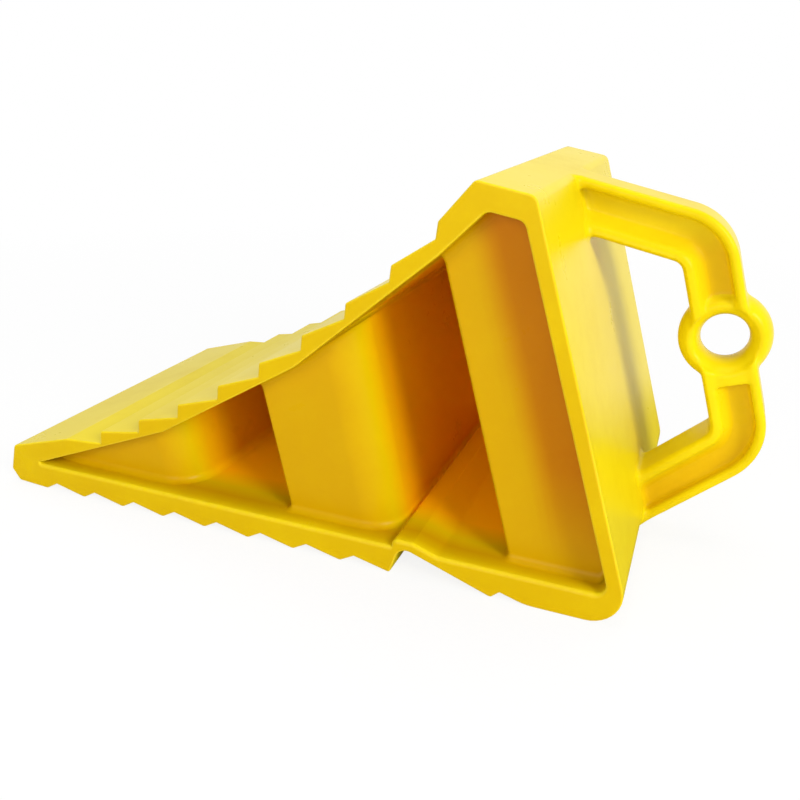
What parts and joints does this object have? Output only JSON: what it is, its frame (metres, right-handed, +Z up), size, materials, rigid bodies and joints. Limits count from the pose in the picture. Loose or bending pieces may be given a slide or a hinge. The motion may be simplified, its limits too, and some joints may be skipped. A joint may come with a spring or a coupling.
{
  "type": "wheel chock",
  "caption": "Yellow plastic wheel chock with a curved toothed ramp, open side pockets, a toothed sole and a carrying handle with an eyelet for a chain.",
  "frame": {"origin": "on the ground, in the middle of the overall length and width", "axes": "+X from the nose to the handle, +Z up, -Y towards the side whose pockets the picture shows"},
  "size_m": [0.4056, 0.2, 0.1934],
  "materials": {
    "yellow_plastic": "satin injection-moulded polyethylene, coloured right through"
  },
  "bodies": {
    "root": {"nose": "yellow_plastic", "ramp_deck": "yellow_plastic", "crest": "yellow_plastic", "back_wall": "yellow_plastic", "heel": "yellow_plastic", "toothed_sole": "yellow_plastic", "heel_sole": "yellow_plastic", "front_face": "yellow_plastic", "front_rear_web": "yellow_plastic", "middle_face": "yellow_plastic", "middle_front_web": "yellow_plastic", "middle_rear_web": "yellow_plastic", "rear_face": "yellow_plastic", "rear_front_web": "yellow_plastic", "front_pocket_panel": "yellow_plastic", "middle_pocket_panel": "yellow_plastic", "handle_upper_arm": "yellow_plastic", "handle_upper_bend": "yellow_plastic", "handle_upper_grip": "yellow_plastic", "eyelet": "yellow_plastic", "handle_lower_grip": "yellow_plastic", "handle_lower_bend": "yellow_plastic", "handle_lower_arm": "yellow_plastic"}
  },
  "joints": []
}
